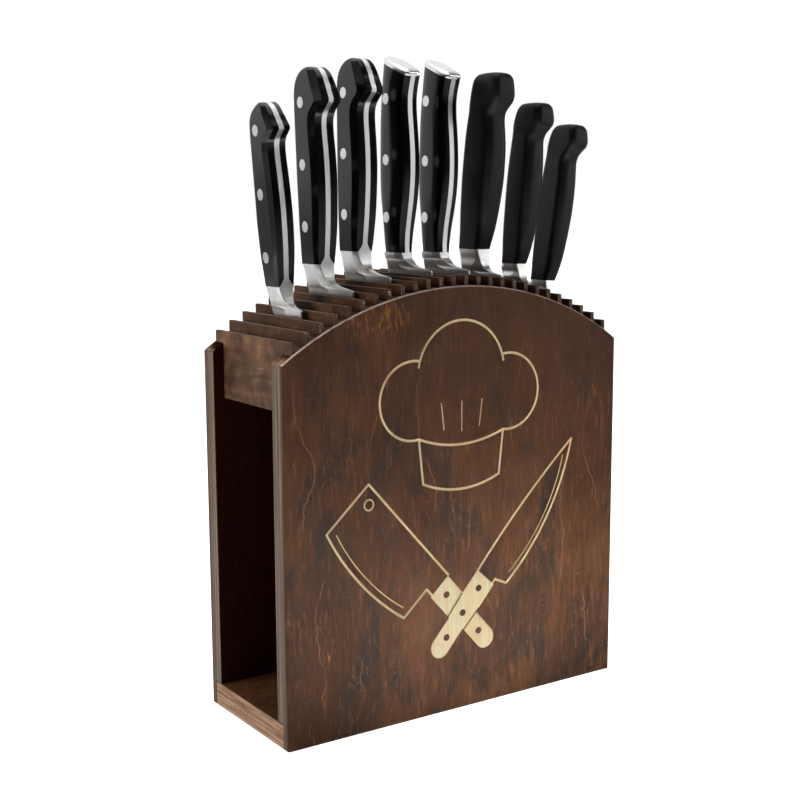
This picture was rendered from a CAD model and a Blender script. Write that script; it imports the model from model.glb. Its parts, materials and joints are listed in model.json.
"""Looks for the slatted knife block with eight knives.

Lengths in the tables are millimetres, as in the CAD model; MM turns them into metres.
A knife's own coordinates are x across the blade, y from the block's front face toward
its back, and s, the height above the slats. Each knife leans about the slats' middle.
"""
import json
import math

import bmesh
import bpy
from mathutils import Matrix, Vector


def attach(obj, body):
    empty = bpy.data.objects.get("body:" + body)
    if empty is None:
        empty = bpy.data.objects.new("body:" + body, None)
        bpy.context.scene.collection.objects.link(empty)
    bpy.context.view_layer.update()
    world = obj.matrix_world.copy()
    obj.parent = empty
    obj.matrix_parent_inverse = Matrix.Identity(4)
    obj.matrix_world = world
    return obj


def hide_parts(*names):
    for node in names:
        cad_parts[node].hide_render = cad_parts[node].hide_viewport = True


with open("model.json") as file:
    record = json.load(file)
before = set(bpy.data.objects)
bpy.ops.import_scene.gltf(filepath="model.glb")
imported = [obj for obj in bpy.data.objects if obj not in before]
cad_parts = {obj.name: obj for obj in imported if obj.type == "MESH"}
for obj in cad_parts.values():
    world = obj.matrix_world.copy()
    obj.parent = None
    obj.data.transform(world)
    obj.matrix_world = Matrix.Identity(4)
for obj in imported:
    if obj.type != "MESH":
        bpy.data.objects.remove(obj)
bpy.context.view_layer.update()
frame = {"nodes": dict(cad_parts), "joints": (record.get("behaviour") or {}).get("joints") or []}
MM = 0.001

# ---------------------------------------------------------------- driving sizes

BLOCK_W = 242
BLOCK_D = 95
SIDE_H = 220
ARCH_RISE = 38
PANEL_T = 12
PANEL_PLY = 3.1
BASE_PLY = 3
SLAT_N = 26
SLAT_PITCH = 9
SLAT_PROUD = 6
SLAT_H = 40
ARCH_R = ((BLOCK_W / 2) ** 2 + ARCH_RISE**2) / (2 * ARCH_RISE)
ARCH_CZ = SIDE_H + ARCH_RISE - ARCH_R
FRONT_Y = -BLOCK_D / 2
PIVOT = SLAT_H / 2 - 2
CUT_D = 0.6
TANG_T = 3.2
RIVET_PROUD = 0.06
RIVET_R = 3.3
SPINE_T = 2.4

# one value for each knife: its gap, its place from front to back, its blade's length, the power
# of its edge's curve, and how far up the blade's depth the tip lies
GAP_OF = [3, 6, 9, 12, 15, 18, 21, 24]
SHIFT_OF = [-1.9, -0.7, 2.3, 1, 0.5, 0, 0.3, 1.5]
BLADE_OF = [160, 200, 200, 200, 200, 180, 160, 130]
BELLY_OF = [3.2, 2.4, 2.4, 2.4, 3.4, 2.6, 3, 3]
TIP_OF = [0.97, 0.97, 0.86, 0.97, 0.8, 0.95, 0.95, 0.95]


# ---------------------------------------------------------------- camera and light

CAMERA_AT = (-0.472, -0.683, 0.313)
# azimuth, elevation and roll in degrees
CAMERA_TURN = (-33.95, 8.79, -0.26)
CAMERA_LENS = 60.9


def place_camera():
    """The camera stands left of the front, a little above the slats, and looks slightly down."""
    azimuth, elevation, roll = (math.radians(a) for a in CAMERA_TURN)
    back = Vector((
        math.sin(azimuth) * math.cos(elevation),
        -math.cos(azimuth) * math.cos(elevation),
        math.sin(elevation),
    ))
    right = (-back).cross(Vector((0, 0, 1))).normalized()
    up = back.cross(right)
    rolled_right = right * math.cos(roll) + up * math.sin(roll)
    rolled_up = up * math.cos(roll) - right * math.sin(roll)
    data = bpy.data.cameras.new("camera")
    data.lens = CAMERA_LENS
    data.sensor_width = 36
    camera = bpy.data.objects.new("camera", data)
    turn = Matrix((rolled_right, rolled_up, back)).transposed().to_4x4()
    camera.matrix_world = Matrix.Translation(CAMERA_AT) @ turn
    bpy.context.scene.collection.objects.link(camera)
    bpy.context.scene.camera = camera


def softbox(name, place, aim, size, watts, spread=180, mirrored=True, only_mirrored=False):
    """A rectangular light. It can be hidden from reflections, or show in reflections only."""
    data = bpy.data.lights.new(name, "AREA")
    data.shape = "RECTANGLE"
    data.size, data.size_y = size
    data.energy = watts
    data.spread = math.radians(spread)
    lamp = bpy.data.objects.new(name, data)
    lamp.rotation_mode = "QUATERNION"
    lamp.rotation_quaternion = (Vector(aim) - Vector(place)).to_track_quat("-Z", "Y")
    lamp.location = place
    lamp.visible_glossy = mirrored
    lamp.visible_diffuse = not only_mirrored
    bpy.context.scene.collection.objects.link(lamp)


def white_backdrop():
    """A world that is white to the camera, and dark in front and bright behind to the object."""
    world = bpy.data.worlds.new("studio")
    world.use_nodes = True
    tree = world.node_tree
    tree.nodes.clear()
    where = tree.nodes.new("ShaderNodeTexCoord")
    split = tree.nodes.new("ShaderNodeSeparateXYZ")
    ramp = tree.nodes.new("ShaderNodeMapRange")
    ramp.inputs["From Min"].default_value = 0.05
    ramp.inputs["From Max"].default_value = 0.62
    ramp.inputs["To Min"].default_value = 0.01
    ramp.inputs["To Max"].default_value = 0.92
    seen = tree.nodes.new("ShaderNodeLightPath")
    strength = tree.nodes.new("ShaderNodeMath")
    strength.operation = "MAXIMUM"
    background = tree.nodes.new("ShaderNodeBackground")
    background.inputs["Color"].default_value = (1, 1, 1, 1)
    out = tree.nodes.new("ShaderNodeOutputWorld")
    tree.links.new(where.outputs["Generated"], split.inputs[0])
    tree.links.new(split.outputs["Y"], ramp.inputs["Value"])
    tree.links.new(ramp.outputs[0], strength.inputs[0])
    tree.links.new(seen.outputs["Is Camera Ray"], strength.inputs[1])
    tree.links.new(strength.outputs[0], background.inputs["Strength"])
    tree.links.new(background.outputs[0], out.inputs["Surface"])
    bpy.context.scene.world = world


def light_studio():
    """White backdrop, with light that is stronger from behind and the sides than from in front."""
    white_backdrop()
    softbox("strip_box", (1.34, -1.08, 0.75), (0, 0, 0.40), (0.35, 1.5), 5.6)
    softbox("steel_box", (1.45, -0.93, 0.5), (0, 0, 0.35), (0.35, 1.0), 4.4, only_mirrored=True)
    softbox("floor_box", (0.08, -0.38, 0.9), (0.02, -0.25, 0), (0.2, 0.15), 1.7, 26)
    softbox("left_box", (-1.25, 0.25, 0.6), (0, 0, 0.2), (0.8, 0.9), 16, mirrored=False)
    softbox("top_box", (0, 0.1, 1.5), (0, 0, 0.2), (1.3, 1.0), 7)
    softbox("glint_box", (0.68, -0.60, 1.12), (0, 0, 0.38), (0.50, 0.08), 0.9, only_mirrored=True)


def lay_floor():
    bm = bmesh.new()
    bmesh.ops.create_grid(bm, x_segments=2, y_segments=2, size=6)
    mesh = bpy.data.meshes.new("floor")
    bm.to_mesh(mesh)
    bm.free()
    floor = bpy.data.objects.new("floor", mesh)
    floor.location.z = -0.0005
    bpy.context.scene.collection.objects.link(floor)
    paint = bpy.data.materials.new("floor")
    paint.use_nodes = True
    shader = paint.node_tree.nodes["Principled BSDF"]
    shader.inputs["Base Color"].default_value = (0.93, 0.93, 0.93, 1)
    shader.inputs["Roughness"].default_value = 0.7
    shader.inputs["Emission Color"].default_value = (1, 1, 1, 1)
    seen = paint.node_tree.nodes.new("ShaderNodeLightPath")
    glow = paint.node_tree.nodes.new("ShaderNodeMath")
    glow.operation = "MULTIPLY"
    glow.inputs[1].default_value = 1.0
    paint.node_tree.links.new(seen.outputs["Is Camera Ray"], glow.inputs[0])
    paint.node_tree.links.new(glow.outputs[0], shader.inputs["Emission Strength"])
    mesh.materials.append(paint)


# ---------------------------------------------------------------- materials

class Paint:
    """A material whose nodes are made by short calls."""

    def __init__(self, name):
        self.material = bpy.data.materials.new(name)
        self.material.use_nodes = True
        self.tree = self.material.node_tree
        self.shader = self.tree.nodes["Principled BSDF"]
        self.place = self.add("ShaderNodeTexCoord").outputs["Object"]
        self.normal = self.add("ShaderNodeNewGeometry").outputs["True Normal"]

    def add(self, kind, values=None, **settings):
        node = self.tree.nodes.new(kind)
        for key, value in settings.items():
            setattr(node, key, value)
        for key, value in (values or {}).items():
            self.join(node.inputs[key], value)
        return node

    def join(self, socket, value):
        if isinstance(value, bpy.types.NodeSocket):
            self.tree.links.new(value, socket)
        else:
            socket.default_value = value

    def sum(self, operation, a, b=0.0):
        return self.add("ShaderNodeMath", {0: a, 1: b}, operation=operation).outputs[0]

    def product(self, *values):
        """All the values multiplied together."""
        total = values[0]
        for value in values[1:]:
            total = self.sum("MULTIPLY", total, value)
        return total

    def distance(self, value, middle):
        """How far a value is from the middle one."""
        return self.sum("ABSOLUTE", self.sum("SUBTRACT", value, middle))

    def reach(self, x, z, centre, radii):
        """1 on the ellipse with that centre and those radii in millimetres, less inside it."""
        across = self.sum("DIVIDE", self.sum("SUBTRACT", x, centre[0] * MM), radii[0] * MM)
        along = self.sum("DIVIDE", self.sum("SUBTRACT", z, centre[1] * MM), radii[1] * MM)
        squares = self.sum("ADD", self.product(across, across), self.product(along, along))
        return self.sum("SQRT", squares)

    def stretch(self, vector, scale):
        node = self.add("ShaderNodeVectorMath", {0: vector, 1: scale}, operation="MULTIPLY")
        return node.outputs[0]

    def split(self, vector):
        return self.add("ShaderNodeSeparateXYZ", {0: vector}).outputs

    def noise(self, vector, detail=3, rough=0.5, bend=0.0):
        values = {"Vector": vector, "Scale": 1.0, "Detail": detail, "Roughness": rough, "Distortion": bend}
        return self.add("ShaderNodeTexNoise", values)

    def step(self, value, low, high, to_low=0.0, to_high=1.0):
        values = {"Value": value, "From Min": low, "From Max": high, "To Min": to_low, "To Max": to_high}
        return self.add("ShaderNodeMapRange", values, interpolation_type="SMOOTHSTEP").outputs[0]

    def blend(self, share, a, b):
        node = self.add("ShaderNodeMix", {"Factor": share}, data_type="RGBA")
        self.join(node.inputs[6], a)
        self.join(node.inputs[7], b)
        return node.outputs[2]

    def ramp(self, value, stops):
        node = self.add("ShaderNodeValToRGB", {0: value})
        marks = node.color_ramp.elements
        while len(marks) < len(stops):
            marks.new(0.5)
        for mark, (position, colour) in zip(marks, stops):
            mark.position = position
            mark.color = colour
        return node.outputs[0]

    def warp(self, amount, scale):
        """The place pushed sideways by slow noise, so that straight grain wanders."""
        push = self.noise(self.stretch(self.place, scale), detail=3).outputs["Color"]
        middle = (0.5, 0.5, 0.5)
        centred = self.add("ShaderNodeVectorMath", {0: push, 1: middle}, operation="SUBTRACT")
        scaled = self.stretch(centred.outputs[0], amount)
        moved = self.add("ShaderNodeVectorMath", {0: self.place, 1: scaled}, operation="ADD")
        return moved.outputs[0]

    def facing(self, axis):
        """1 where the surface looks along the axis, either way."""
        along = self.sum("ABSOLUTE", self.split(self.normal)[axis])
        return self.step(along, 0.7, 0.8)

    def bump(self, height, strength, distance):
        values = {"Height": height, "Strength": strength, "Distance": distance}
        node = self.add("ShaderNodeBump", values)
        self.join(self.shader.inputs["Normal"], node.outputs[0])

    def finish(self, colour, rough, **sockets):
        self.join(self.shader.inputs["Base Color"], colour)
        self.join(self.shader.inputs["Roughness"], rough)
        for key, value in sockets.items():
            self.join(self.shader.inputs[key.replace("_", " ")], value)
        return self.material


def rgb(red, green, blue):
    """A shader colour from the usual 0 to 255 values."""
    def linear(v):
        v /= 255
        return v / 12.92 if v <= 0.04045 else ((v + 0.055) / 1.055) ** 2.4
    return (linear(red), linear(green), linear(blue), 1)


# long pale veins: x, lowest and highest z, width, all in millimetres
VEINS = [
    (-106, 112, 214, 0.7), (-101, 12, 104, 0.6), (-60, 150, 236, 0.5), (-24, 120, 214, 0.6),
    (22, 18, 96, 0.5), (46, 150, 232, 0.5), (74, 60, 150, 0.6), (100, 8, 66, 0.7), (104, 100, 196, 0.5),
    (-70, 16, 70, 0.5), (6, 86, 140, 0.4),
]
VEIN_FADE = 18
# small knots: x, z, size, in millimetres
KNOTS = [(64, 52, 2.6), (-78, 206, 1.6), (38, 128, 1.3)]
# the patch of amber flecks below the arch: its middle and its reach in x and z, in millimetres
AMBER_AT = (-60, 243)
AMBER_REACH = (26, 12)
# how far the engraving stays from the arch, the sides and the base, in millimetres
ENGRAVED_RIM = (8.15, 6.5, 29)


def veins(p, x, z):
    """Thin pale lines that wander up the board."""
    faint = p.noise(p.stretch(p.place, (40, 40, 40)), detail=2).outputs[0]
    for i, (x0, low, high, width) in enumerate(VEINS):
        where = p.add("ShaderNodeCombineXYZ", {0: 7.3 * i + 1.7, 2: z}).outputs[0]
        slow = p.sum("SUBTRACT", p.noise(p.stretch(where, (1, 1, 16)), detail=1).outputs[0], 0.5)
        quick = p.sum("SUBTRACT", p.noise(p.stretch(where, (3, 1, 130)), detail=2).outputs[0], 0.5)
        path = p.sum("ADD", p.product(slow, 0.05), p.product(quick, 0.006))
        off = p.distance(p.sum("SUBTRACT", x, x0 * MM), path)
        line = p.step(off, width * MM, width * 0.2 * MM)
        rising = p.step(z, low * MM, (low + VEIN_FADE) * MM)
        fading = p.step(z, high * MM, (high - VEIN_FADE) * MM)
        line = p.product(line, rising, fading)
        found = line if i == 0 else p.sum("MAXIMUM", found, line)
    return p.product(found, p.step(faint, 0.34, 0.58, 0.15, 0.8))


def add_knots(p, colour, x, z):
    """Rings and a dark eye at each knot."""
    wobble = p.noise(p.stretch(p.place, (160, 160, 110)), detail=3).outputs[0]
    for x0, z0, size in KNOTS:
        reach = p.reach(x, z, (x0, z0), (size, size * 1.3))
        reach = p.sum("ADD", reach, p.product(p.sum("SUBTRACT", wobble, 0.5), 1.5))
        shade = p.step(reach, 4.2, 1.2, 0, 0.55)
        colour = p.blend(shade, colour, rgb(52, 38, 33))
        rings = p.step(p.sum("SINE", p.product(reach, 5)), -0.2, 1.0)
        near = p.step(reach, 2.2, 0.5, 0, 0.6)
        colour = p.blend(p.product(near, rings), colour, rgb(120, 80, 62))
        colour = p.blend(p.step(reach, 0.5, 0.25, 0, 0.9), colour, rgb(24, 13, 10))
    return colour


def face_figure(p):
    """Dark stained face: short fibres, grey clouds with curled lines, amber flecks, veins, knots.

    Gives the colour, the grain and the fibres.
    """
    x, _, z = p.split(p.place)
    place = p.warp((0.012, 0.012, 0.010), (20, 20, 12))
    clouds = p.noise(p.stretch(p.place, (13, 13, 8)), detail=5, rough=0.6, bend=0.8).outputs[0]
    streak = p.noise(p.stretch(place, (150, 150, 20)), detail=5, rough=0.66).outputs[0]
    grain = p.noise(p.stretch(place, (480, 480, 62)), detail=4, rough=0.64).outputs[0]
    fibre = p.noise(p.stretch(place, (1000, 1000, 80)), detail=3, rough=0.6).outputs[0]
    patch = p.noise(p.stretch(p.place, (25, 25, 15)), detail=5, rough=0.64, bend=1.4).outputs[0]
    base = p.ramp(clouds, [
        (0.30, rgb(58, 35, 22)), (0.45, rgb(75, 47, 30)), (0.57, rgb(86, 55, 35)), (0.72, rgb(94, 63, 43)),
    ])
    base = p.blend(p.step(streak, 0.50, 0.72, 0, 0.34), base, rgb(110, 68, 40))
    base = p.blend(p.step(streak, 0.46, 0.30, 0, 0.45), base, rgb(46, 31, 25))
    grey = p.product(p.step(patch, 0.50, 0.62), p.step(streak, 0.62, 0.44, 0.35, 0.8))
    base = p.blend(grey, base, rgb(43, 36, 32))
    base = p.blend(p.step(grain, 0.47, 0.30, 0, 0.50), base, rgb(34, 22, 17))
    base = p.blend(p.step(grain, 0.54, 0.70, 0, 0.45), base, rgb(128, 86, 58))

    # curled lines follow the levels of a slow noise round the grey clouds
    level = p.noise(p.stretch(place, (42, 42, 17)), detail=3, rough=0.5, bend=1.2).outputs[0]
    off = p.distance(p.sum("FRACT", p.product(level, 5)), 0.5)
    curls = p.product(p.step(off, 0.05, 0.0), p.step(patch, 0.46, 0.58, 0, 0.26))
    base = p.blend(curls, base, rgb(126, 92, 70))

    # amber flecks gather below the arch on the left and thin out elsewhere
    reach = p.reach(x, z, AMBER_AT, AMBER_REACH)
    amber = p.sum("MAXIMUM", p.step(reach, 1.3, 0.4), p.step(patch, 0.40, 0.28, 0, 0.75))
    fleck = p.noise(p.stretch(place, (640, 640, 150)), detail=3, rough=0.6).outputs[0]
    flecks = p.product(p.step(fleck, 0.50, 0.64), amber)
    base = p.blend(p.product(flecks, 0.80), base, rgb(176, 116, 46))
    base = p.blend(veins(p, x, z), base, rgb(134, 92, 66))
    base = add_knots(p, base, x, z)

    # the stain is darker toward the arch
    base = p.blend(p.step(z, 0.08, 0.25, 0, 0.46), base, rgb(40, 26, 20))
    return base, grain, fibre


def ply_layers(p, depth, pitch, light, dark, fibre_scale):
    """Edge of plywood: layers along depth (metres), pitch millimetres thick, with dark seams."""
    fibre = p.noise(p.stretch(p.place, fibre_scale), detail=4, rough=0.65).outputs[0]
    wander = p.product(p.sum("SUBTRACT", fibre, 0.5), 0.0006)
    layer = p.sum("FRACT", p.sum("DIVIDE", p.sum("ADD", depth, wander), pitch * MM))
    seam = p.step(p.distance(layer, 0.5), 0.28, 0.46)
    tone = p.blend(p.step(fibre, 0.30, 0.72), dark, light)
    return p.blend(p.product(seam, 0.55), tone, dark)


def engraved(p, depth):
    """1 on the floor and walls of the engraving, which lies below the front face and clear of its rim."""
    x, y, z = p.split(p.place)
    over = p.add("ShaderNodeCombineXYZ", {0: x, 2: p.sum("SUBTRACT", z, ARCH_CZ * MM)}).outputs[0]
    radius = p.add("ShaderNodeVectorMath", {0: over}, operation="LENGTH").outputs["Value"]
    edge_r = (ARCH_R - ENGRAVED_RIM[0]) * MM
    edge_x = (BLOCK_W / 2 - ENGRAVED_RIM[1]) * MM
    edge_z = ENGRAVED_RIM[2] * MM
    soft = 0.5 * MM
    inside = p.product(
        p.step(radius, edge_r, edge_r - soft),
        p.step(p.sum("ABSOLUTE", x), edge_x, edge_x - soft),
        p.step(z, edge_z, edge_z + 2 * soft),
    )
    sunk = p.step(depth, 0.08 * MM, 0.14 * MM)
    front = p.sum("LESS_THAN", y, (FRONT_Y + CUT_D + 0.3) * MM)
    return p.product(inside, sunk, front)


def bare_wood(p):
    """The pale wood that the engraving lays bare, a little scorched in places."""
    fibre = p.noise(p.stretch(p.place, (500, 500, 20)), detail=4, rough=0.6).outputs[0]
    pale = p.blend(p.step(fibre, 0.3, 0.7), rgb(250, 224, 172), rgb(255, 244, 204))
    scorched = p.noise(p.stretch(p.place, (70, 70, 70)), detail=3).outputs[0]
    return p.blend(p.step(scorched, 0.54, 0.72, 0, 0.30), pale, rgb(232, 176, 116))


def stained_panel():
    p = Paint("stained_panel")
    y = p.split(p.place)[1]
    up = p.split(p.normal)[2]
    depth = p.sum("SUBTRACT", BLOCK_D / 2 * MM, p.sum("ABSOLUTE", y))
    face, grain, fibre = face_figure(p)

    side = ply_layers(p, depth, PANEL_PLY, rgb(122, 106, 94), rgb(66, 53, 45), (260, 620, 9))
    skin = p.step(depth, 0.0027, 0.0021)
    side = p.blend(p.product(skin, 0.8), side, rgb(58, 42, 34))
    top = ply_layers(p, depth, PANEL_PLY, rgb(150, 112, 88), rgb(88, 60, 46), (30, 620, 30))

    # the inner faces are redder and darker
    inner = p.step(depth, (PANEL_T - 0.7) * MM, (PANEL_T - 0.2) * MM, 0, 0.88)
    face = p.blend(inner, face, rgb(40, 4, 1))
    colour = p.blend(p.facing(0), face, side)
    colour = p.blend(p.step(up, 0.55, 0.7), colour, top)

    # light worn line where the arch meets the outer face
    edge = p.product(p.step(up, 0.12, 0.4), p.step(depth, 0.0017, 0.0011))
    worn = p.noise(p.stretch(p.place, (220, 220, 220)), detail=3).outputs[0]
    edge = p.product(edge, p.step(worn, 0.32, 0.5, 0.5, 0.95))
    colour = p.blend(edge, colour, rgb(208, 182, 166))
    colour = p.blend(engraved(p, depth), colour, bare_wood(p))

    height = p.sum("ADD", p.product(grain, 0.6), p.product(fibre, 0.4))
    p.bump(height, 0.35, 0.0003)
    rough = p.step(grain, 0.3, 0.7, 0.40, 0.56)
    rough = p.sum("MAXIMUM", rough, p.product(p.facing(0), 0.62))
    return p.finish(colour, rough, IOR=1.3, Specular_IOR_Level=0.18)


def bottom_ply():
    p = Paint("bottom_ply")
    z = p.split(p.place)[2]
    face, grain, fibre = face_figure(p)
    face = p.blend(0.35, face, rgb(60, 30, 8))
    end = ply_layers(p, z, BASE_PLY, rgb(172, 138, 112), rgb(98, 68, 50), (60, 26, 900))
    pore = p.noise(p.stretch(p.place, (200, 200, 700)), detail=2).outputs[0]
    end = p.blend(p.step(pore, 0.36, 0.28, 0, 0.5), end, rgb(60, 40, 30))
    colour = p.blend(p.facing(0), face, end)
    p.bump(p.sum("ADD", grain, fibre), 0.3, 0.0003)
    return p.finish(colour, p.step(grain, 0.3, 0.7, 0.45, 0.6), IOR=1.3, Specular_IOR_Level=0.3)


def slat_ply():
    p = Paint("slat_ply")
    x = p.split(p.place)[0]
    place = p.warp((0.01, 0.01, 0.01), (24, 24, 24))
    mottle = p.noise(p.stretch(p.place, (60, 45, 40)), detail=4, rough=0.6, bend=1.2).outputs[0]
    grain = p.noise(p.stretch(place, (260, 8, 190)), detail=4, rough=0.6).outputs[0]
    fibre = p.noise(p.stretch(place, (800, 60, 800)), detail=3).outputs[0]
    face = p.ramp(mottle, [
        (0.30, rgb(50, 32, 22)), (0.46, rgb(76, 53, 37)), (0.58, rgb(94, 68, 49)), (0.72, rgb(112, 84, 62)),
    ])
    face = p.blend(p.step(grain, 0.6, 0.35, 0, 0.5), face, rgb(40, 24, 16))
    flake = p.product(p.step(fibre, 0.60, 0.72), p.step(mottle, 0.5, 0.62))
    face = p.blend(p.product(flake, 0.5), face, rgb(156, 118, 84))
    # the first slat is lighter than the others
    past_first = (1 - SLAT_N / 2) * SLAT_PITCH
    others = p.step(x, (past_first - 0.5) * MM, (past_first + 0.5) * MM, 0, 0.5)
    face = p.blend(others, face, rgb(46, 22, 12))

    # three plies across the slat's edge
    across = p.sum("FRACT", p.sum("ADD", p.sum("DIVIDE", x, SLAT_PITCH * MM), 100.0))
    core = p.step(p.distance(across, 0.5), 0.075, 0.05)
    edge = p.blend(p.step(grain, 0.3, 0.7), rgb(84, 66, 56), rgb(122, 101, 88))
    edge = p.blend(p.product(core, 0.6), edge, rgb(58, 42, 35))
    edge_mask = p.sum("MAXIMUM", p.facing(2), p.facing(1))
    colour = p.blend(edge_mask, face, edge)
    p.bump(p.sum("ADD", grain, p.product(fibre, 0.5)), 0.35, 0.0003)
    return p.finish(colour, p.step(mottle, 0.3, 0.7, 0.5, 0.62), IOR=1.3, Specular_IOR_Level=0.3)


def steel(name, low, high, scale, colour, strength=0.12):
    """Ground steel with fine lines; scale stretches them, low and high bound its roughness."""
    p = Paint(name)
    line = p.noise(p.stretch(p.place, scale), detail=4, rough=0.7).outputs[0]
    cloud = p.noise(p.stretch(p.place, (60, 60, 60)), detail=3).outputs[0]
    tint = p.blend(p.step(cloud, 0.35, 0.65), colour, tuple(c * 0.93 for c in colour[:3]) + (1,))
    p.bump(line, strength, 0.0001)
    rough = p.sum("ADD", p.step(line, 0.3, 0.7, low, high), p.step(cloud, 0.4, 0.7, 0, 0.04))
    return p.finish(tint, rough, Metallic=1.0)


def black_scale():
    p = Paint("riveted_black")
    grit = p.noise(p.stretch(p.place, (2600, 2600, 1500)), detail=2).outputs[0]
    cloud = p.noise(p.stretch(p.place, (70, 70, 30)), detail=4, rough=0.6).outputs[0]
    tint = p.blend(p.step(cloud, 0.35, 0.65), rgb(6, 5, 5), rgb(11, 10, 10))
    p.bump(grit, 0.06, 0.0001)
    return p.finish(tint, p.step(cloud, 0.3, 0.7, 0.14, 0.20), IOR=1.4)


def black_moulded():
    p = Paint("moulded_black")
    grit = p.noise(p.stretch(p.place, (1900, 1900, 1900)), detail=3, rough=0.6).outputs[0]
    cloud = p.noise(p.stretch(p.place, (50, 50, 25)), detail=3).outputs[0]
    tint = p.blend(p.step(cloud, 0.35, 0.65), rgb(6, 5, 5), rgb(11, 10, 10))
    p.bump(grit, 0.16, 0.0002)
    return p.finish(tint, p.step(cloud, 0.3, 0.7, 0.38, 0.46), IOR=1.33, Specular_IOR_Level=0.4)


# ---------------------------------------------------------------- mesh tools

def tab(rows, s):
    """Straight-line reading of a table of (key, value) rows."""
    if s <= rows[0][0]:
        return rows[0][1]
    for (s0, v0), (s1, v1) in zip(rows, rows[1:]):
        if s <= s1:
            return v0 + (v1 - v0) * (s - s0) / (s1 - s0)
    return rows[-1][1]


def round_outline(points, cuts, steps):
    """A closed outline whose corners are cut back by the given lengths and rounded."""
    out = []
    for i, (corner, cut) in enumerate(zip(points, cuts)):
        if cut == 0:
            out.append(corner)
            continue
        before = points[i - 1] - corner
        after = points[(i + 1) % len(points)] - corner
        start = corner + before.normalized() * min(cut, 0.45 * before.length)
        end = corner + after.normalized() * min(cut, 0.45 * after.length)
        for k in range(steps + 1):
            t = k / steps
            out.append(start * (1 - t) ** 2 + corner * 2 * t * (1 - t) + end * t * t)
    return out


def smooth_line(rows, steps):
    """Rows of points with smooth rows put between them; each row has as many points."""
    knots = [0.0]
    for a, b in zip(rows, rows[1:]):
        gap = sum((q - p).length for p, q in zip(a, b)) / len(a)
        knots.append(knots[-1] + max(gap, 0.05))
    last = len(rows) - 1

    def slope(i, j):
        if i == 0 or i == last:
            near = min(max(i, 1), last)
            return (rows[near][j] - rows[near - 1][j]) / (knots[near] - knots[near - 1])
        before, after = knots[i] - knots[i - 1], knots[i + 1] - knots[i]
        left = (rows[i][j] - rows[i - 1][j]) / before
        right = (rows[i + 1][j] - rows[i][j]) / after
        return (left * after + right * before) / (before + after)

    out = []
    for i in range(last):
        gap = knots[i + 1] - knots[i]
        for k in range(steps):
            t = k / steps
            h00, h10 = 2 * t**3 - 3 * t**2 + 1, t**3 - 2 * t**2 + t
            h01, h11 = 3 * t**2 - 2 * t**3, t**3 - t**2
            out.append([
                rows[i][j] * h00 + slope(i, j) * (h10 * gap)
                + rows[i + 1][j] * h01 + slope(i + 1, j) * (h11 * gap)
                for j in range(len(rows[i]))
            ])
    out.append(list(rows[last]))
    return out


def smooth_arc(points, steps):
    """An open line of points made smooth."""
    return [row[0] for row in smooth_line([[p] for p in points], steps)]


def loft(bm, rings, matrix):
    """Closed skin through rings of points in millimetres."""
    rows = [[bm.verts.new(matrix @ (p * MM)) for p in ring] for ring in rings]
    count = len(rings[0])
    for low, high in zip(rows, rows[1:]):
        for i in range(count):
            j = (i + 1) % count
            bm.faces.new((low[i], low[j], high[j], high[i]))
    bm.faces.new(rows[0][::-1])
    bm.faces.new(rows[-1])


def new_piece(name, bm, material, body, replaced, sharp=32):
    """The finished mesh as a piece that stands for its CAD nodes and rides on its body."""
    bmesh.ops.recalc_face_normals(bm, faces=bm.faces[:])
    mesh = bpy.data.meshes.new(name)
    bm.to_mesh(mesh)
    bm.free()
    mesh.polygons.foreach_set("use_smooth", [True] * len(mesh.polygons))
    mesh.set_sharp_from_angle(angle=math.radians(sharp))
    mesh.materials.append(material)
    piece = bpy.data.objects.new(name, mesh)
    bpy.context.scene.collection.objects.link(piece)
    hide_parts(*replaced)
    weigh = piece.modifiers.new("weighted", "WEIGHTED_NORMAL")
    weigh.keep_sharp = True
    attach(piece, body)


# ---------------------------------------------------------------- block

def eased_board(node, width, material, wanted=None):
    """A CAD board again, with its outer edges eased by a small round."""
    bm = bmesh.new()
    bm.from_mesh(frame["nodes"][node].data)
    bmesh.ops.remove_doubles(bm, verts=bm.verts[:], dist=2e-6)
    bmesh.ops.dissolve_limit(bm, angle_limit=math.radians(0.2), verts=bm.verts[:], edges=bm.edges[:])
    edges = [
        e for e in bm.edges
        if e.is_manifold and e.calc_face_angle() > math.radians(40) and (wanted is None or wanted(e))
    ]
    bmesh.ops.bevel(
        bm, geom=edges, offset=width * MM, segments=3, profile=0.5, affect="EDGES", clamp_overlap=True
    )
    new_piece(node + "_eased", bm, material, "block", [node], sharp=35)


def on_panel_rim(edge):
    """True for edges of a panel's outer face or sides, and not for the engraving."""
    def outer_face(v):
        far = abs(v.co.y) > (BLOCK_D / 2 - 0.05) * MM
        on_picture = (
            math.hypot(v.co.x, v.co.z - ARCH_CZ * MM) < (ARCH_R - 4) * MM
            and abs(v.co.x) < (BLOCK_W / 2 - 4) * MM
            and v.co.z > 4 * MM
        )
        return far and not on_picture

    def outer_side(v):
        return abs(v.co.x) > (BLOCK_W / 2 - 0.05) * MM
    return all(outer_face(v) for v in edge.verts) or all(outer_side(v) for v in edge.verts)


def make_block(paint):
    eased_board("front_panel", 0.7, paint["stained_panel"], on_panel_rim)
    eased_board("back_panel", 0.7, paint["stained_panel"], on_panel_rim)
    eased_board("bottom_board", 0.8, paint["bottom_ply"])
    for i in range(1, SLAT_N + 1):
        eased_board(f"slat_{i:02d}", 0.35, paint["slat_ply"])


# ---------------------------------------------------------------- blades

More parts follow.
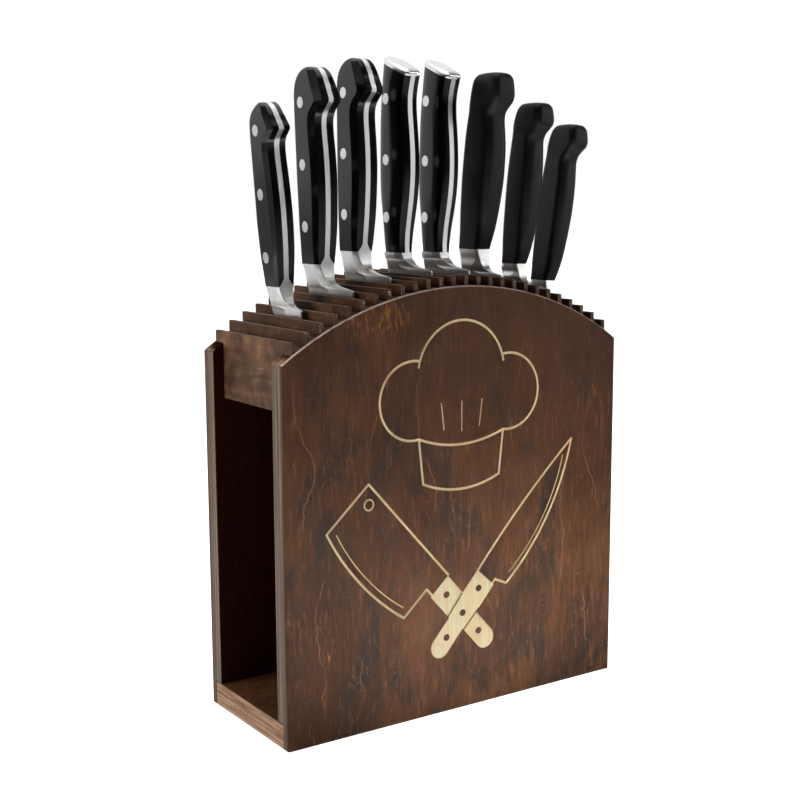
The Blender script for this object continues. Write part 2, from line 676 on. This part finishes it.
def knife_place(k):
    """From knife coordinates to the frame; the lean comes from the knife's joint."""
    joint = next(j for j in frame["joints"] if j["child"] == f"knife_{k}")
    lean = math.atan2(joint["axis"][0], joint["axis"][2])
    gap_x = (GAP_OF[k - 1] - SLAT_N / 2) * SLAT_PITCH
    gap_z = ARCH_CZ + math.sqrt(ARCH_R**2 - gap_x**2) + SLAT_PROUD
    return (
        Matrix.Translation(Vector((gap_x, 0, gap_z - PIVOT)) * MM)
        @ Matrix.Rotation(lean, 4, "Y")
        @ Matrix.Translation(Vector((0, FRONT_Y + SHIFT_OF[k - 1], PIVOT)) * MM)
    )


def ring8(s, yf, yb, h, xf, cf, xb, cb):
    """Ring with flats front and back and a bevel at each corner, edges just broken."""
    corners = [
        (-xf, yf), (xf, yf), (h, yf + cf), (h, yb - cb),
        (xb, yb), (-xb, yb), (-h, yb - cb), (-h, yf + cf),
    ]
    return round_outline([Vector((x, y, s)) for x, y in corners], [0.5] * 8, 3)


def bolster_rings(ys, yh, yf, top, h, xf, cf):
    """Forged bolster: from the handle's face down and forward to the heel."""
    reach = yf - yh
    return [
        ring8(-1.6, yh, ys, 1.7, 0.7, (ys - yh) * 0.5, 1.2, 2),
        ring8(0.6, yh, ys, 2.15, 0.8, (ys - yh) * 0.5, 1.5, 2),
        ring8(2.0, yh, ys, 2.5, 0.8, (ys - yh) * 0.5, 1.8, 2),
        ring8(2.9, yh + reach * 0.22, ys, 2.8, 1.0, (ys - yh) * 0.42, 2.0, 2),
        ring8(3.9, yh + reach * 0.52, ys, 3.15, 1.5, 16, 2.2, 2.2),
        ring8(5.4, yh + reach * 0.74, ys, 3.6, 2.2, 11, 2.5, 2.4),
        ring8(7.6, yh + reach * 0.88, ys, 4.25, 3.0, 8, 2.9, 2.6),
        ring8(top * 0.68, yh + reach * 0.955, ys, h - 1.4, xf - 0.9, cf + 1.6, 3.6, 2.8),
        ring8(top * 0.86, yh + reach * 0.99, ys, h - 0.5, xf - 0.3, cf + 0.5, 4.2, 3),
        ring8(top, yf, ys, h, xf, cf, h - 1.4, 3),
    ]


# where a blade's cross-sections lie, as shares of the way from the slats down to the tip
BLADE_STEPS = [1, 0.985, 0.97, 0.945, 0.92, 0.88, 0.84, 0.78, 0.72, 0.64, 0.55, 0.45, 0.35, 0.25, 0.15, 0]
BLADE_TOP = -1.2


def blade_rings(k, ys, yh):
    """Cross-sections of a blade below the bolster: heel at yh, spine at ys."""
    length, belly, tip_y = BLADE_OF[k - 1], BELLY_OF[k - 1], TIP_OF[k - 1]
    rings = []
    for f in BLADE_STEPS:
        s = BLADE_TOP - f * (length + BLADE_TOP)
        edge = yh + (ys - yh) * tip_y * f**belly - (0.4 if f == 1 else 0)
        half = SPINE_T / 2 * (1 - 0.5 * f)
        deep = ys - edge
        outline = [
            (-0.12, edge), (0.12, edge), (half * 0.8, edge + deep * 0.62), (half, ys - deep * 0.04),
            (half * 0.6, ys), (-half * 0.6, ys), (-half, ys - deep * 0.04), (-half * 0.8, edge + deep * 0.62),
        ]
        rings.append([Vector((x, y, s)) for x, y in outline])
    return rings


def add_forging(bm, k, spine_y, heel_y, front_y, top, half, flat, bevel):
    """Bolster and blade of knife k; the last four numbers are the bolster's top ring."""
    place = knife_place(k)
    rings = bolster_rings(spine_y, heel_y, front_y, top, half, flat, bevel)
    loft(bm, smooth_line(rings, 3), place)
    loft(bm, blade_rings(k, spine_y, heel_y), place)


def add_rivets(k, paint, y, rivets):
    """The rivets of knife k, from (height, half length) pairs, with their ends just broken at the rim."""
    bm = bmesh.new()
    turn = [2 * math.pi * i / 32 for i in range(32)]
    end_r = RIVET_R - 0.25
    for s, half in rivets:
        end = half + RIVET_PROUD
        rings = []
        for x, r in ((-end, end_r), (-half, RIVET_R), (half, RIVET_R), (end, end_r)):
            rings.append([Vector((x, y + r * math.cos(a), s + r * math.sin(a))) for a in turn])
        loft(bm, rings, knife_place(k))
    node = f"knife_{k}_rivets"
    new_piece(node + "_ground", bm, paint["rivet_steel"], f"knife_{k}", [node])


# ---------------------------------------------------------------- classic handle

# Each table gives (height, value) rows: the front and the back of the handle, its half thickness,
# the half width of its front flat, and how deep the bevel beside that flat reaches.
BIG = {
    "front": [
        (16.4, 47), (23, 46.4), (30, 45.4), (38, 44.4), (47, 43.6), (56, 43.1), (65, 42.9), (74, 43.2),
        (83, 43.9), (91, 44.8), (96.5, 45), (100.5, 44.3), (103.6, 42.4), (106.4, 39.2), (109, 36.2),
        (115.5, 38.4), (121, 41), (125.5, 44.2), (128.2, 47.8), (129, 51),
    ],
    "back": [
        (16.4, 67), (23, 66.6), (30, 66.4), (56, 66.6), (91, 66.9), (106.4, 67), (115.5, 66.6),
        (121, 65.2), (125.5, 62), (128.2, 57.6), (129, 54),
    ],
    "half": [
        (16.4, 6.6), (23, 7.1), (38, 7.7), (65, 8), (115.5, 8), (121, 7.8), (125.5, 7.3), (128.2, 6.5),
        (129, 5.6),
    ],
    "flat": [
        (16.4, 5.2), (23, 5.9), (38, 6.4), (65, 6.6), (109, 6.3), (115.5, 5.8), (125.5, 4.8), (129, 3.8)
    ],
    "bevel": [
        (16.4, 4.2), (38, 5.6), (100, 6), (109, 6.4), (121, 6.2), (125.5, 5.4), (128.2, 3), (129, 0.9)
    ],
    "heel": 19.4,
    "rivets": [38.2, 73.9, 109.4],
    "rivet_y": 57.8,
}
SMALL = {
    "front": [
        (15.4, 46.2), (21, 45.5), (26, 44.9), (33, 44), (42, 43.3), (51, 42.9), (60, 42.8), (70, 43.2),
        (79, 43.9), (87, 44.7), (93, 44.9), (96.5, 44.4), (99.2, 42.8), (101.4, 40.3), (103.7, 37.8),
        (108.6, 40.3), (112.6, 42.9), (116, 45.8), (118.2, 49), (119, 51.6),
    ],
    "back": [
        (15.4, 62.4), (21, 62.5), (26, 63), (33, 63.6), (51, 64.2), (101.4, 64.3), (108.6, 63.6),
        (112.6, 61.9), (116, 58.6), (118.2, 55.4), (119, 53.6),
    ],
    "half": [
        (15.4, 6), (21, 6.4), (33, 6.9), (51, 7.2), (108.6, 7.2), (112.6, 7), (116, 6.4), (118.2, 5.7),
        (119, 5),
    ],
    "flat": [
        (15.4, 4.7), (21, 5.2), (33, 5.8), (51, 6), (103.7, 5.6), (108.6, 5.2), (116, 4.3), (119, 3.5)
    ],
    "bevel": [(15.4, 2), (33, 3), (60, 4.4), (99.2, 4.6), (112.6, 4), (116, 2.8), (118.2, 1.4), (119, 0.5)],
    "heel": 31.2,
    "rivets": [32, 67.9, 103.7],
    "rivet_y": 55.6,
}


def classic_section(t, s, side):
    """Half of the handle's cross-section on one side of the tang."""
    yf, yb = tab(t["front"], s), tab(t["back"], s)
    half, flat, bevel = tab(t["half"], s), tab(t["flat"], s), tab(t["bevel"], s)
    inner = TANG_T / 2
    corners = [(inner, yf), (flat, yf), (half, yf + bevel), (half, yb - 2), (half - 1.4, yb), (inner, yb)]
    outline = [Vector((x * side, y, s)) for x, y in corners]
    return round_outline(outline, [0, 0.3, 0.35, 0.9, 0.9, 0], 3)


def tongue_rings(t):
    """Pointed steel tongue that runs from the bolster up the front of the tang."""
    top = t["front"][0][0]
    rings = []
    for rise, width in ((-1, 4.6), (0.2, 4.3), (1.2, 3.6), (2.4, 2.7), (3.6, 2), (4.8, TANG_T / 2)):
        s = top + rise
        y = tab(t["front"], s) - 0.07
        half, flat, bevel = tab(t["half"], s), tab(t["flat"], s), tab(t["bevel"], s)
        drop = max(width - flat, 0) * bevel / (half - flat)
        flat = min(flat, width - 0.01)
        outline = (
            (-width, y + drop), (-flat, y), (flat, y), (width, y + drop), (width, y + 4), (-width, y + 4)
        )
        rings.append([Vector((x, v, s)) for x, v in outline])
    return rings


def make_classic(k, paint):
    t = SMALL if k == 1 else BIG
    place = knife_place(k)
    body = f"knife_{k}"
    levels = [row[0] for row in t["front"]]
    for side, word in ((-1, "left"), (1, "right")):
        bm = bmesh.new()
        loft(bm, smooth_line([classic_section(t, s, side) for s in levels], 3), place)
        node = f"{body}_scale_{word}"
        new_piece(node + "_shaped", bm, paint["riveted_black"], body, [node], sharp=28)

    bm = bmesh.new()
    half = TANG_T / 2
    rings = []
    for s in levels:
        yf, yb = tab(t["front"], s), tab(t["back"], s)
        rings.append([Vector((x, y, s)) for x, y in ((-half, yf), (half, yf), (half, yb), (-half, yb))])
    loft(bm, smooth_line(rings, 3), place)
    loft(bm, tongue_rings(t), place)
    top = levels[0]
    spine_y = t["back"][0][1]
    sizes = (tab(t["half"], top), tab(t["flat"], top), tab(t["bevel"], top))
    add_forging(bm, k, spine_y, t["heel"], t["front"][0][1], top, *sizes)
    node = f"{body}_blade"
    new_piece(node + "_forged", bm, paint["forged_steel"], body, [node])
    add_rivets(k, paint, t["rivet_y"], [(s, tab(t["half"], s + RIVET_R)) for s in t["rivets"]])


# ---------------------------------------------------------------- capped handle

CAP_SLOPE = 0.4
CAP_MID = 49
CAP_S = 121.2
# height, front, back, half thickness, slope of the ring
CAPPED = [
    (12.2, 42.6, 61.6, 5.7, 0), (17, 42.8, 61.8, 6.1, 0), (26, 41.9, 62.2, 6.6, 0), (36, 39.9, 63.1, 7, 0),
    (46, 38, 64.3, 7.2, 0), (56, 36.8, 64.9, 7.2, 0), (66, 36.5, 65, 7.2, 0.02), (77, 37, 64.8, 7.2, 0.08),
    (88, 38.1, 64.5, 7.2, 0.16), (98, 39.2, 63.7, 7.2, 0.24), (108, 39.1, 62.3, 7.2, 0.32),
    (115, 37.7, 61.4, 7.2, 0.36), (CAP_S, 36, 60.4, 7.2, CAP_SLOPE),
]
# height over CAP_S, front, back, half thickness
CAP_ROWS = [
    (0, 36, 60.4, 7.2), (0.8, 35.6, 60.5, 7.2), (1.6, 35.4, 60.5, 7.15), (2.3, 35.7, 60.4, 6.95),
    (2.8, 36.3, 60.2, 6.5), (3.2, 37.2, 59.8, 5.9), (3.5, 38.3, 59.3, 5.1),
]
# height, half length
CAPPED_RIVETS = [(33.3, 7.03), (67.6, 7.2), (103.6, 7.2)]
CAPPED_RIVET_Y = 55
CAPPED_HEEL = 17.4


def capped_line(s, yf, yb, h, slope, side, inner):
    """Soft half section from the front of the tang round to its back."""
    points = [
        (inner, yf), (h - 2.9, yf), (h - 1.5, yf + 1.4), (h - 0.6, yf + 6), (h, yf + 12),
        (h, yb - 8), (h - 0.9, yb - 2.8), (h - 2.4, yb - 0.7), (h - 3.6, yb), (inner, yb),
    ]
    line = smooth_arc([Vector((x * side, y, s + slope * (y - CAP_MID))) for x, y in points], 2)
    return [Vector((side * min(max(p.x * side, inner), h), min(max(p.y, yf), yb), p.z)) for p in line]


def cap_ring(rise, yf, yb, h):
    """Ring right round the end cap, whose two halves meet at the middle."""
    right = capped_line(CAP_S + rise, yf, yb, h, CAP_SLOPE, 1, 0)
    left = capped_line(CAP_S + rise, yf, yb, h, CAP_SLOPE, -1, 0)
    return right[1:-1] + left[-2:0:-1]


def make_capped(k, paint):
    place = knife_place(k)
    body = f"knife_{k}"
    inner = TANG_T / 2
    for side, word in ((-1, "left"), (1, "right")):
        bm = bmesh.new()
        loft(bm, smooth_line([capped_line(*row, side, inner) for row in CAPPED], 3), place)
        node = f"{body}_scale_{word}"
        new_piece(node + "_shaped", bm, paint["riveted_black"], body, [node], sharp=35)

    bm = bmesh.new()
    rings = []
    for s, yf, yb, h, slope in CAPPED:
        corners = ((-inner, yf), (inner, yf), (inner, yb), (-inner, yb))
        rings.append([Vector((x, y, s + slope * (y - CAP_MID))) for x, y in corners])
    loft(bm, smooth_line(rings, 3), place)
    s, yf, yb, h = CAPPED[0][:4]
    add_forging(bm, k, yb, CAPPED_HEEL, yf, s, h, h - 1.5, 6)
    node = f"{body}_blade"
    new_piece(node + "_forged", bm, paint["forged_steel"], body, [node])
    add_rivets(k, paint, CAPPED_RIVET_Y, CAPPED_RIVETS)

    bm = bmesh.new()
    loft(bm, smooth_line([cap_ring(*row) for row in CAP_ROWS], 2), place)
    node = f"{body}_cap"
    new_piece(node + "_polished", bm, paint["cap_steel"], body, [node], sharp=50)


# ---------------------------------------------------------------- moulded handle

# height, front, back, half thickness, corner radius
MOULDED_BIG = [
    (17.6, 38.2, 58, 5.9, 2.2), (22, 36.4, 57.4, 6.3, 3), (30, 33, 56.6, 6.9, 4), (40, 30.2, 55.8, 7.6, 4.6),
    (50, 27.7, 54.8, 8, 5), (60, 25.9, 53.6, 8.3, 5), (70, 24.6, 52.5, 8.2, 5), (79, 23.9, 51.3, 8.1, 5),
    (89, 24.2, 49.9, 7.9, 5), (96, 24.6, 48.4, 7.8, 5), (100.4, 23.9, 47, 8, 5), (104, 20.6, 45.9, 8.2, 4.6),
    (107, 17.6, 44.9, 8.3, 4), (116, 16.8, 42.7, 8.2, 4), (120.4, 17.4, 41.3, 7.8, 4.2),
    (123, 19.4, 39, 6.6, 4.4), (124, 23, 35.4, 4.2, 3.2),
]
MOULDED_SMALL = [
    (15.6, 34.4, 49.6, 4.9, 1.8), (20, 32, 49.2, 5.5, 3), (28, 28.6, 48.9, 6.1, 4), (38, 26, 48, 6.7, 4.6),
    (48, 24, 46.9, 7.1, 5), (58, 22.4, 45.6, 7.4, 5), (68, 21.2, 44.4, 7.4, 5), (78, 20.5, 43, 7.3, 5),
    (86, 20.3, 41.8, 7.1, 5), (92, 20, 40.7, 7, 5), (95.4, 18.4, 39.9, 7, 4.8), (98.6, 15, 38.9, 7.2, 4.4),
    (101, 12.7, 38, 7.4, 3.8), (108, 12.2, 35.8, 7.4, 4), (111.6, 12.9, 34.2, 6.9, 4.2),
    (113.8, 14.9, 31.8, 5.8, 4), (114.6, 18, 28.6, 3.6, 2.8),
]
MOULD_Y = {6: 0, 7: 0, 8: 4.4}
MOULD_HEEL = {6: 20.2, 7: 19.6, 8: 24}


def soft_ring(s, yf, yb, half, radius, shift):
    """Rounded rectangle with seven points in each corner."""
    across = min(radius, half - 0.8)
    ring = []
    for sx, sy, turn in ((1, -1, -90), (1, 1, 0), (-1, 1, 90), (-1, -1, 180)):
        middle_y = yf + radius if sy < 0 else yb - radius
        for a in range(0, 91, 15):
            angle = math.radians(turn + a)
            x = sx * (half - across) + across * math.cos(angle)
            ring.append(Vector((x, middle_y + radius * math.sin(angle) + shift, s)))
    return ring


def make_moulded(k, paint):
    rows = MOULDED_BIG if k == 6 else MOULDED_SMALL
    place = knife_place(k)
    body = f"knife_{k}"
    shift = MOULD_Y[k]
    bm = bmesh.new()
    loft(bm, smooth_line([soft_ring(*row, shift) for row in rows], 3), place)
    node = f"{body}_handle"
    new_piece(node + "_moulded", bm, paint["moulded_black"], body, [node], sharp=50)

    bm = bmesh.new()
    s, yf, yb, half = rows[0][:4]
    spine_y = yb + 0.2 + shift
    add_forging(bm, k, spine_y, MOULD_HEEL[k] + shift, yf + shift, s, half, half - 1.1, 1.6)
    node = f"{body}_blade"
    new_piece(node + "_forged", bm, paint["forged_steel"], body, [node])


# ---------------------------------------------------------------- scene

def main():
    bpy.context.scene.view_settings.view_transform = "Standard"
    place_camera()
    light_studio()
    lay_floor()
    paint = {
        "stained_panel": stained_panel(),
        "bottom_ply": bottom_ply(),
        "slat_ply": slat_ply(),
        "forged_steel": steel("forged_steel", 0.33, 0.45, (500, 500, 40), (0.82, 0.815, 0.80, 1)),
        "rivet_steel": steel("rivet_steel", 0.22, 0.34, (300, 700, 300), (0.80, 0.79, 0.77, 1)),
        "cap_steel": steel("cap_steel", 0.22, 0.30, (200, 200, 200), (0.90, 0.90, 0.89, 1), 0.02),
        "riveted_black": black_scale(),
        "moulded_black": black_moulded(),
    }
    make_block(paint)
    for k in (1, 2, 3):
        make_classic(k, paint)
    for k in (4, 5):
        make_capped(k, paint)
    for k in (6, 7, 8):
        make_moulded(k, paint)


main()
